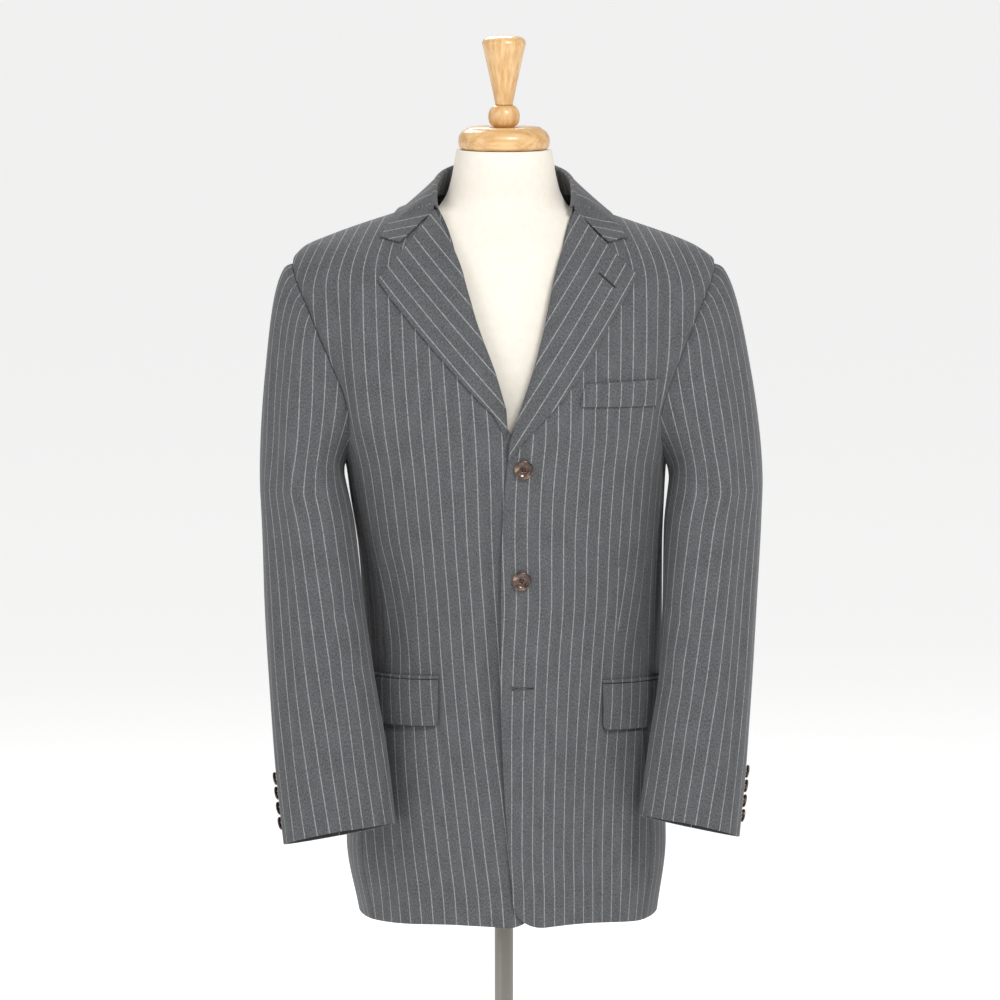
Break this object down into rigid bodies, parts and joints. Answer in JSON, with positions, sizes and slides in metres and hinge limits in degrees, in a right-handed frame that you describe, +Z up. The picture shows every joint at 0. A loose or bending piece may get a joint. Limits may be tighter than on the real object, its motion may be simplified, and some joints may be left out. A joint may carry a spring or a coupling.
{
  "type": "three-button sport coat on a dress form",
  "caption": "Single-breasted tailored coat in pinstripe cloth with notch lapels, flap pockets and a breast welt, filled out by a limbless dress form on a pole stand.",
  "frame": {"origin": "on the floor, on the axis of the stand's pole, at the middle of the base plate's underside", "axes": "+Z up along the pole, +X to the wearer's left, -Y to the front of the coat"},
  "size_m": [0.5418, 0.3744, 1.6733],
  "materials": {
    "coat_cloth": "mid-grey heathered wool twill with a pale pinstripe",
    "horn_button": "polished brown horn-like resin with a pale swirl",
    "form_jersey": "off-white cotton jersey stretched smooth",
    "turned_wood": "clear-varnished honey-coloured beech",
    "stand_steel": "satin brushed steel"
  },
  "bodies": {
    "root": {"front_right": "coat_cloth", "side_right": "coat_cloth", "back_right": "coat_cloth", "upper_sleeve_right": "coat_cloth", "under_sleeve_right": "coat_cloth", "lapel_right": "coat_cloth", "pocket_jet_right": "coat_cloth", "pocket_flap_right": "coat_cloth", "cuff_button_right_1": "horn_button", "cuff_button_right_2": "horn_button", "cuff_button_right_3": "horn_button", "cuff_button_right_4": "horn_button", "front_left": "coat_cloth", "side_left": "coat_cloth", "back_left": "coat_cloth", "upper_sleeve_left": "coat_cloth", "under_sleeve_left": "coat_cloth", "lapel_left": "coat_cloth", "pocket_jet_left": "coat_cloth", "pocket_flap_left": "coat_cloth", "cuff_button_left_1": "horn_button", "cuff_button_left_2": "horn_button", "cuff_button_left_3": "horn_button", "cuff_button_left_4": "horn_button", "collar": "coat_cloth", "breast_welt": "coat_cloth", "front_button_top": "horn_button", "front_button_middle": "horn_button", "front_button_bottom": "horn_button", "form_torso": "form_jersey", "neck_cap": "turned_wood", "finial_ball": "turned_wood", "finial": "turned_wood", "pole": "stand_steel", "base_plate": "stand_steel"}
  },
  "joints": []
}
